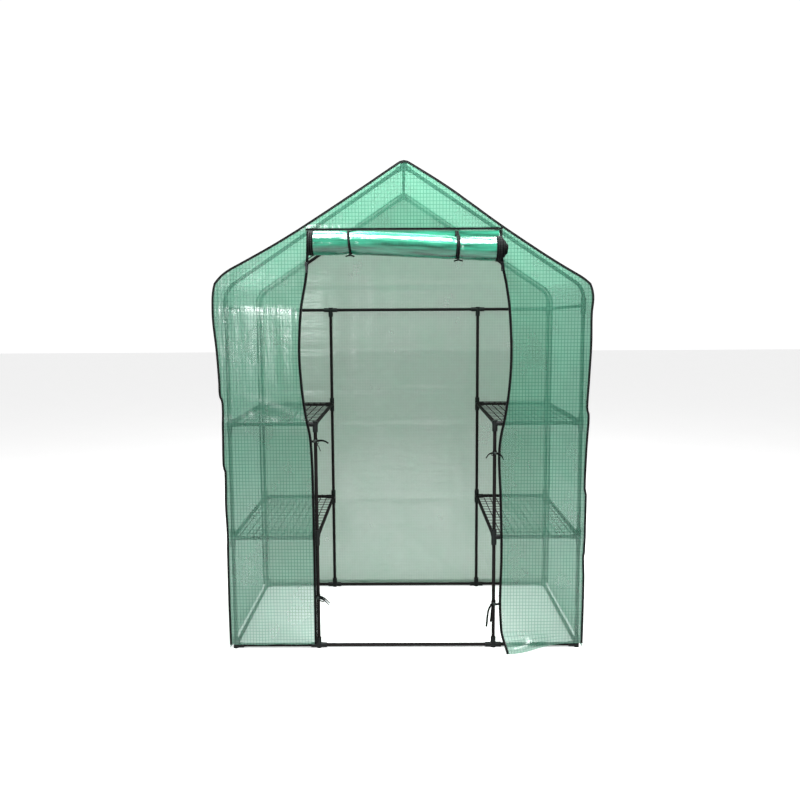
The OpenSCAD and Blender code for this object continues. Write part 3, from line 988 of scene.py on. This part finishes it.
def back_sheet(cover, finish):
    """Back film with its gable."""
    rows = counted(HALF_L, cover.mesh_step)
    columns = counted(2 * WALL_X, cover.mesh_step)

    def flat(u, v):
        point, out = outline(HALF_L * v)
        point = point + out * BACK_SEAM_OUT
        return Vector((point.x * (1 - 2 * u), point.y))

    def place(u, v):
        x, z = flat(u, v)
        return Vector((x, BACK_Y + back_push(x, z), z + hem_lift(z, x)))

    bm = mapped_grid(columns, rows, place, flat)
    made = piece("cover_back_film", bm, back_film(finish), "frame")
    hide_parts("cover_back")
    return made


def wrap_sheet(cover, finish):
    """Film that runs from the left hem over both roof slopes to the right hem."""
    deep = BACK_Y - FRONT_Y

    def flat(u, v):
        return (2 * u - 1) * HALF_L, v * deep

    def place(u, v):
        return wrap_place((2 * u - 1) * HALF_L, FRONT_Y + v * deep)

    around, across = counted(2 * HALF_L, cover.mesh_step), counted(deep, cover.mesh_step)
    bm = mapped_grid(around, across, place, flat)
    made = piece("cover_wrap", bm, cover_film(finish), "frame")
    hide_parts("cover_wall_left", "cover_wall_right", "cover_roof_left", "cover_roof_right")
    return made


def seam_path(at_back, steps):
    """The binding's line over the whole greenhouse, and its outward direction at each point."""
    path, across = [], []
    for i in range(-steps, steps + 1):
        side = -1 if i < 0 else 1
        distance = HALF_L * (1 - abs(i) / steps)
        if at_back:
            point, out = outline(distance)
            point, out = point + out * BACK_SEAM_OUT, Vector((side * out.x, out.y))
            x, y, z = side * point.x, BACK_Y + back_push(side * point.x, point.y), point.y
            z += hem_lift(z, x)
        else:
            point, out = seam_point(side, distance)
            x, y, z = on_front(point.x, point.y)
        path.append(Vector((x, y, z)))
        across.append(Vector((out.x, 0, out.y)))
    return path, across


def back_hem(cover, finish):
    """The back film's hem: its bottom edge folded up behind it and welded."""
    steps = counted(2 * WALL_X, cover.mesh_step)
    middle = HEM_Z + cover.hem_height / 2
    path = []
    for i in range(steps + 1):
        x = WALL_X * (1 - 2 * i / steps)
        y = BACK_Y + back_push(x, middle) + 1.5 * cover.tape_thickness
        path.append(Vector((x, y, middle + hem_lift(middle, x))))
    bm = tape_mesh(path, UP, cover.hem_height, cover.tape_thickness)
    return piece("cover_back_hem", bm, hem_film(finish), "frame")


class GREENHOUSE_OT_cover(bpy.types.Operator):
    """Makes the cover's three films, the back's hem and the binding"""

    bl_idname = "greenhouse.cover"
    bl_label = "Cover"

    def execute(self, context):
        cover, finish = context.scene.greenhouse_cover, context.scene.greenhouse_finish
        front = front_sheet(cover, finish)
        back = back_sheet(cover, finish)
        wrap = wrap_sheet(cover, finish)
        hem = back_hem(cover, finish)
        for name, at_back in (("binding_front", False), ("binding_back", True)):
            path, across = seam_path(at_back, counted(HALF_L, cover.mesh_step))
            bm = tape_mesh(path, across, cover.binding_width, 2 * cover.tape_thickness)
            piece(name, bm, woven_tape(finish), "frame")
        return {"FINISHED"}


# ---- Zips ----

# How far below the seam the teeth end, and a tooth's width, depth and share of the pitch
TEETH_END, TOOTH = 0.06, (0.0030, 0.0024, 0.55)
ZIP_STEP, TOOTH_BEVEL = 0.015, 0.0004
# Place of the tape over the door's seam, above the doorway
SEAM_TAPE_UP, SEAM_TAPE_WIDE, SEAM_TAPE_STEPS = 0.009, 0.0085, 60


def zip_line(side, cover, low, high, steps):
    """Points on the front film just outside a flap's free edge."""
    points = []
    for i in range(steps + 1):
        z = low + (high - low) * i / steps
        x = side * (door_edge(side, z) + cover.zip_tape_width / 2)
        points.append(on_front(x, z, out=0.0009 + cover.tape_thickness / 2))
    return points


def zip_teeth(side, cover):
    """A row of teeth along the free edge of a zip's tape."""
    high = DOOR_TOP - TEETH_END - HEM_Z
    count = counted(high, cover.tooth_pitch)
    meshes = bmesh.new()
    meshes.loops.layers.uv.new("UVMap")
    for i in range(count):
        z = HEM_Z + 0.006 + high * i / count
        place = on_front(side * (door_edge(side, z) + 0.0004), z, out=0.0016)
        size = Matrix.Diagonal((TOOTH[0], TOOTH[1], cover.tooth_pitch * TOOTH[2], 1))
        made = bmesh.ops.create_cube(meshes, size=1, matrix=Matrix.Translation(place) @ size)
        edges = {e for v in made["verts"] for e in v.link_edges}
        bmesh.ops.bevel(
            meshes, geom=list(edges), offset=TOOTH_BEVEL, segments=1, profile=0.5, affect="EDGES",
            material=-1,
        )
    return meshes


class GREENHOUSE_OT_zips(bpy.types.Operator):
    """Makes the zip tapes and teeth along both flap edges and the tape along the door's seam"""

    bl_idname = "greenhouse.zips"
    bl_label = "Zips"

    def execute(self, context):
        cover, finish = context.scene.greenhouse_cover, context.scene.greenhouse_finish
        tape = woven_tape(finish)
        for side, word in ((-1, "left"), (1, "right")):
            steps = counted(DOOR_TOP - HEM_Z, ZIP_STEP)
            path = zip_line(side, cover, HEM_Z + 0.001, DOOR_TOP + 0.002, steps)
            bm = tape_mesh(path, ACROSS, cover.zip_tape_width, cover.tape_thickness)
            made = piece(f"zip_tape_{word}_half", bm, tape, "frame")
            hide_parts(f"zip_tape_{word}")
            teeth = zip_teeth(side, cover)
            piece(f"zip_teeth_{word}", teeth, moulded_plastic(finish), "frame")
        reach = door_edge(1, DOOR_TOP) + 0.012
        path = []
        for i in range(SEAM_TAPE_STEPS + 1):
            x = reach * (2 * i / SEAM_TAPE_STEPS - 1)
            path.append(on_front(x, DOOR_TOP + SEAM_TAPE_UP, out=cover.tape_thickness))
        bm = tape_mesh(path, UP, SEAM_TAPE_WIDE, cover.tape_thickness)
        made = piece("door_seam_binding", bm, tape, "frame")
        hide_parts("door_seam_tape")
        return {"FINISHED"}


# ---- Rolled door ----

ROLL_Y = centre("roll_strap_left").y
ROLL_R = 0.047
ROLL_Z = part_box("door_roll")[0].z + ROLL_R
ROLL_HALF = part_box("door_roll")[1].x
TURN_STEPS = 40
# Place and tape width of each sling
SLINGS = {"left": (-0.207, 0.009), "right": (0.203, 0.014)}
SLING_STEPS, SLING_TURN = 33, math.radians(300)
# Angles round the roll over which a sling leaves it towards the seam, and how far it stands off
LEAVE_FROM, LEAVE_WIDE, LEAVE_OUT = math.radians(250), math.radians(60), 0.25
# Share of the door's length that hangs free between the seam and the roll
FREE_STRIP = 0.03
# Where the door's sheet leaves the film, and how far it and the slings stand off the film there
LEAVE_Z, DOOR_OUT, SLING_OUT = min(DOOR_TOP + 0.003, HINGE_Z), 0.0016, 0.0034
# The roll hangs level up to a place left of the middle, and droops from there over a width
ROLL_LIFT, DROOP_FROM, DROOP_WIDE = 0.004, -0.25, 0.66
# How far the roll's ends stay inside the frame's roll, and how far its turns wander there
END_GAP, END_WANDER = 0.003, 0.0012


def roll_middle(door, x):
    """Height of the roll's axis, which droops to the right."""
    return ROLL_Z + ROLL_LIFT - door.droop * ease((x - DROOP_FROM) / DROOP_WIDE)


def roll_swell(door, x, angle):
    """Radius of the roll beside its mean: squeezed in and gathered by the slings, uneven between."""
    off = [x - sling for sling, _ in SLINGS.values()]
    squeeze = sum(math.exp(-(distance / 0.016) ** 2) for distance in off)
    gathers = 0.0125 * math.exp(-min(abs(distance) for distance in off) / 0.05)
    soft = 0.022 * ripple(x, math.sin(angle), 0.11, 1.6, 31.0)
    soft += 0.014 * ripple(x, math.cos(angle), 0.04, 0.9, 33.0)
    return 1 - door.sling_pinch * squeeze + gathers * math.sin(9 * angle + 40 * x) + soft


def turns(door):
    """How many turns the door's length makes."""
    mean = (ROLL_R + door.core_radius) / 2
    return (door.door_length - (DOOR_TOP - ROLL_Z)) / (2 * math.pi * mean)


def on_roll(door, x, along, out=0.0):
    """Place on the rolled door: along runs from 0 at the seam to 1 at the inner end of the roll."""
    middle = roll_middle(door, x)
    if along < FREE_STRIP:
        top = on_front(x, LEAVE_Z, out=DOOR_OUT)
        low = Vector((0, ROLL_Y + ROLL_R * roll_swell(door, x, 0), middle))
        place = top.lerp(low, along / FREE_STRIP)
        return Vector((x, place.y + out, place.z))
    t = (along - FREE_STRIP) / (1 - FREE_STRIP)
    angle = 2 * math.pi * turns(door) * t
    radius = ROLL_R + (door.core_radius - ROLL_R) * t
    radius = radius * roll_swell(door, x, angle % (2 * math.pi)) + out
    return Vector((x, ROLL_Y + radius * math.cos(angle), middle - radius * math.sin(angle)))


def roll_steps(door):
    """How many mesh steps run along the rolled door."""
    return round(TURN_STEPS * turns(door))


def roll_edge(door, side, along):
    """How far out the door's edge lies at a place along it, where the turns creep past each other."""
    creep = door.end_creep_left if side < 0 else door.end_creep_right
    wander = END_WANDER * math.sin(along * 37 + side)
    return door.shift + side * (ROLL_HALF - END_GAP + creep * along + wander)


class GREENHOUSE_OT_door(bpy.types.Operator):
    """Makes the rolled-up door with its zip tapes"""

    bl_idname = "greenhouse.door"
    bl_label = "Rolled door"

    def execute(self, context):
        door, finish = context.scene.greenhouse_door, context.scene.greenhouse_finish
        cover = context.scene.greenhouse_cover
        steps, columns = roll_steps(door), counted(2 * ROLL_HALF, cover.mesh_step)

        def flat(u, v):
            left, right = roll_edge(door, -1, v), roll_edge(door, 1, v)
            return left + (right - left) * u, (1 - v) * door.door_length

        bm = mapped_grid(columns, steps, lambda u, v: on_roll(door, flat(u, v)[0], v), flat)
        bmesh.ops.reverse_faces(bm, faces=bm.faces)
        made = piece("door_rolled", bm, rolled_film(finish), "door_roll")
        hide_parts("door_roll")
        for side, word in ((-1, "left"), (1, "right")):
            def place(u, v):
                edge = roll_edge(door, side, v)
                return on_roll(door, edge - side * door.zip_tape_width * (1 - u), v, out=0.0011)

            bm = mapped_grid(
                3, steps, place, lambda u, v: (v * door.door_length, u * door.zip_tape_width)
            )
            bmesh.ops.recalc_face_normals(bm, faces=bm.faces)
            bmesh.ops.solidify(bm, geom=bm.faces, thickness=0.0016)
            tape = woven_tape(finish)
            piece(f"door_zip_tape_{word}", bm, tape, "door_roll")
        return {"FINISHED"}


def knot_mesh(place, size, turn):
    """A small tight knot: a waisted, pleated lump of tape."""
    bm = bmesh.new()
    bm.loops.layers.uv.new("UVMap")
    made = bmesh.ops.create_icosphere(bm, subdivisions=3, radius=1.0)
    for vert in made["verts"]:
        x, y, z = vert.co
        pleats = 1 + 0.10 * math.cos(5 * math.atan2(z, x) + turn)
        pleats += 0.12 * ripple(x, z, 0.6, 0.6, 41.0 + turn)
        waist = 1 - 0.22 * math.exp(-(x / 0.22) ** 2)
        vert.co = Vector((x * size[0], y * size[1] * waist, z * size[2] * waist)) * pleats
    bmesh.ops.rotate(bm, verts=bm.verts, cent=(0, 0, 0), matrix=Matrix.Rotation(turn, 3, "Y"))
    bmesh.ops.translate(bm, verts=bm.verts, vec=place)
    return bm


def sling_loop(door, x, width):
    """A sling's tape, from the seam over the roll, down its front and up behind it; and its bottom."""
    middle = roll_middle(door, x)
    hug = ROLL_R * (1 - door.sling_pinch) + DOOR_OUT
    lean = 0.004 if x < 0 else -0.002
    path = [on_front(x, HINGE_Z, out=SLING_OUT)]
    for i in range(SLING_STEPS + 1):
        angle = SLING_TURN * (1 - i / SLING_STEPS)
        leaving = ease((angle - LEAVE_FROM) / LEAVE_WIDE)
        radius = hug * (1 + LEAVE_OUT * leaving ** 2)
        y, z = ROLL_Y + radius * math.cos(angle), middle - radius * math.sin(angle)
        path.append(Vector((x + lean * math.sin(angle), y, z)))
    path.append(Vector((x, FRONT_Y - 0.0050, DOOR_TOP - 0.012)))
    return tape_mesh(path, ACROSS, width, THIN_TAPE), Vector((x, ROLL_Y, middle - hug))


class GREENHOUSE_OT_slings(bpy.types.Operator):
    """Makes the two tape slings that hold the rolled door, with their knots"""

    bl_idname = "greenhouse.slings"
    bl_label = "Door slings"

    def execute(self, context):
        door, finish = context.scene.greenhouse_door, context.scene.greenhouse_finish
        for word, (x, width) in SLINGS.items():
            loop, bottom = sling_loop(door, x, width)
            knot = bottom + Vector((0.002, -0.008, -0.0035))
            parts = [loop, knot_mesh(knot, SLING_KNOT, 0.3)]
            for side in (-1, 1):
                tail = [
                    knot + Vector((side * step * 0.017, -0.004 * step, -0.002 - 0.004 * step * step))
                    for step in (0.1, 0.5, 1.0)
                ]
                parts.append(tape_mesh(smooth_path(tail, 8), Vector((0, 0.6, 1)), 0.006, THIN_TAPE))
            tape = woven_tape(finish)
            made = piece(f"door_sling_{word}", join(parts), tape, "door_roll")
            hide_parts(f"roll_strap_{word}")
        return {"FINISHED"}


# ---- Ties ----

# Radius and steps of the tape round the inner post
TIE_R, TIE_STEPS = 0.0083, 24
# Size of the bow beside a knot, large on the lower left, and its route in shares of it
BOW_SIZE, LARGE_BOW_SIZE = 0.014, 0.026
BOW = ((0.1, 0.0), (0.55, 0.25), (1.0, 0.0), (1.05, -0.35), (0.7, -0.5), (0.1, -0.15))


def tie_loop(side, z):
    """Tape round the inner post."""
    path = []
    for i in range(TIE_STEPS + 1):
        angle = 2 * math.pi * i / TIE_STEPS - math.pi / 2
        x, y = side * INNER_POST.x + TIE_R * math.cos(angle), POST.y + TIE_R * math.sin(angle)
        path.append(Vector((x, y, z + 0.003 * math.sin(angle + 1))))
    return tape_mesh(path, UP, 0.010, TIE_THICK)


class GREENHOUSE_OT_ties(bpy.types.Operator):
    """Makes the tape ties that hold the flap edges to the inner posts"""

    bl_idname = "greenhouse.ties"
    bl_label = "Ties"

    def execute(self, context):
        finish = context.scene.greenhouse_finish
        for tie, (side, z) in TIES.items():
            knot = knot_place(side, z)
            sewn = on_front(side * (door_edge(side, z) + 0.006), z + 0.002, out=0.0024)
            post = Vector((side * INNER_POST.x, POST.y - 0.009, z))
            strap = smooth_path([sewn, (sewn + knot) / 2 + Vector((0, -0.002, -0.001)), knot], 8)
            inward = smooth_path([knot, (knot + post) / 2 + Vector((side * 0.002, 0, 0)), post], 6)
            parts = [
                tie_loop(side, z), tape_mesh(strap, UP, TIE_WIDE, TIE_THICK),
                tape_mesh(inward, UP, TIE_WIDE, TIE_THICK),
                knot_mesh(knot, TIE_KNOT, 0.4 * side),
            ]
            bow = LARGE_BOW_SIZE if tie == "lower_left" else BOW_SIZE
            loop = [knot + Vector((-side * bow * a, -0.004 - 0.003 * b, bow * b)) for a, b in BOW]
            parts.append(tape_mesh(smooth_path(loop, 20), Vector((0, 1, 0.25)), 0.0065, 0.0010))
            made = piece(f"tie_{tie}", join(parts), woven_tape(finish), "frame")
            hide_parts("ties_left" if side < 0 else "ties_right")
        return {"FINISHED"}


# ---- Finishes of the frame's own parts ----


class GREENHOUSE_OT_frame_finishes(bpy.types.Operator):
    """Gives the tubes, connectors, shelves and zip sliders their finishes"""

    bl_idname = "greenhouse.frame_finishes"
    bl_label = "Frame finishes"

    def execute(self, context):
        finish = context.scene.greenhouse_finish
        steel, plastic, zinc = powder_coat(finish), moulded_plastic(finish), lacquered_zinc(finish)
        for name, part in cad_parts.items():
            if name.startswith("zip_"):
                material = zinc
            elif "joints" in name or "feet" in name:
                material = plastic
            else:
                material = steel
            if part.hide_render:
                continue
            if not part.material_slots:
                part.data.materials.append(material)
            for slot in part.material_slots:
                slot.material = material
        return {"FINISHED"}


# ---- Studio ----

# Each soft box's name, place, target, size and power
LAMPS = (
    ("overhead_box", (0.0, 0.5, 3.05), (0.0, 0.0, 1.75), (1.5, 0.8), 68),
    ("gable_box", (0.0, -1.0, 2.95), (0.0, -0.38, 1.7), (1.4, 0.85), 190),
    ("left_side_box", (-2.9, 0.2, 1.6), (-0.7, 0.0, 1.1), (1.6, 1.6), 13),
    ("right_side_box", (2.9, 0.2, 1.6), (0.7, 0.0, 1.1), (1.6, 1.6), 32),
    ("left_front_strip", (-1.15, -3.9, 1.46), (-0.5, -0.3, 1.38), (0.55, 0.13), 24),
    ("left_low_box", (-1.05, -3.9, 1.02), (-0.46, -0.36, 1.19), (0.28, 0.40), 4),
    ("right_high_box", (2.0, -2.6, 3.0), (0.3, -0.3, 1.75), (0.7, 0.5), 40),
)


def lamp(name, place, target, size, power):
    """A rectangular soft box that looks at a point."""
    data = bpy.data.lights.new(name, "AREA")
    data.shape = "RECTANGLE"
    data.size, data.size_y = size
    data.energy = power
    made = bpy.data.objects.new(name, data)
    bpy.context.scene.collection.objects.link(made)
    made.location = place
    made.rotation_euler = (Vector(target) - Vector(place)).to_track_quat("-Z", "Y").to_euler()


class GREENHOUSE_OT_stage(bpy.types.Operator):
    """Makes the pale floor, the white room and the soft boxes"""

    bl_idname = "greenhouse.stage"
    bl_label = "Stage"

    def execute(self, context):
        scene, studio = context.scene, context.scene.greenhouse_studio
        bm = bmesh.new()
        bm.loops.layers.uv.new("UVMap")
        bmesh.ops.create_grid(bm, x_segments=1, y_segments=1, size=studio.floor_size / 2)
        mesh = bpy.data.meshes.new("floor")
        bm.to_mesh(mesh)
        bm.free()
        floor = bpy.data.objects.new("floor", mesh)
        scene.collection.objects.link(floor)
        mesh.materials.append(studio_paper(scene.greenhouse_finish, studio.floor_glow))

        world = bpy.data.worlds.new("white_room")
        world.use_nodes = True
        tree = world.node_tree
        tree.nodes.clear()
        seen = node(tree, "LightPath")
        strength = node(
            tree, "MapRange", {"Value": seen, "To Min": studio.sky, "To Max": studio.backdrop}
        )
        sky = node(tree, "Background", {"Color": WHITE, "Strength": strength})
        node(tree, "OutputWorld", {"Surface": sky})
        scene.world = world

        for row in LAMPS:
            lamp(*row)

        scene.view_settings.view_transform = "Standard"
        scene.cycles.transparent_max_bounces = 24
        scene.cycles.max_bounces = 10
        scene.cycles.diffuse_bounces = 4
        scene.cycles.glossy_bounces = 3
        scene.cycles.caustics_reflective = False
        scene.cycles.caustics_refractive = False
        return {"FINISHED"}


# ---- Panel and start ----

OPERATORS = (
    GREENHOUSE_OT_camera, GREENHOUSE_OT_tie_tails, GREENHOUSE_OT_cover, GREENHOUSE_OT_zips,
    GREENHOUSE_OT_door, GREENHOUSE_OT_slings, GREENHOUSE_OT_ties, GREENHOUSE_OT_frame_finishes,
    GREENHOUSE_OT_stage,
)


class GREENHOUSE_PT_panel(bpy.types.Panel):
    """Lists the greenhouse's steps and settings"""

    bl_idname = "GREENHOUSE_PT_panel"
    bl_label = "Greenhouse"
    bl_space_type = "VIEW_3D"
    bl_region_type = "UI"
    bl_category = "Greenhouse"

    def draw(self, context):
        for operator in OPERATORS:
            self.layout.operator(operator.bl_idname)
        for group in SETTINGS:
            box = self.layout.box()
            for name in SETTINGS[group].__annotations__:
                box.prop(getattr(context.scene, group), name)


SETTINGS = {
    "greenhouse_finish": GreenhouseFinish,
    "greenhouse_cover": GreenhouseCover,
    "greenhouse_door": GreenhouseDoor,
    "greenhouse_studio": GreenhouseStudio,
}
CLASSES = (*SETTINGS.values(), *OPERATORS, GREENHOUSE_PT_panel)


def register():
    for cls in CLASSES:
        bpy.utils.register_class(cls)
    for name, group in SETTINGS.items():
        setattr(bpy.types.Scene, name, PointerProperty(type=group))


def unregister():
    for name in SETTINGS:
        delattr(bpy.types.Scene, name)
    for cls in reversed(CLASSES):
        bpy.utils.unregister_class(cls)


def main():
    register()
    for operator in OPERATORS:
        getattr(bpy.ops.greenhouse, operator.bl_idname.split(".")[1])()


if __name__ == "__main__":
    main()
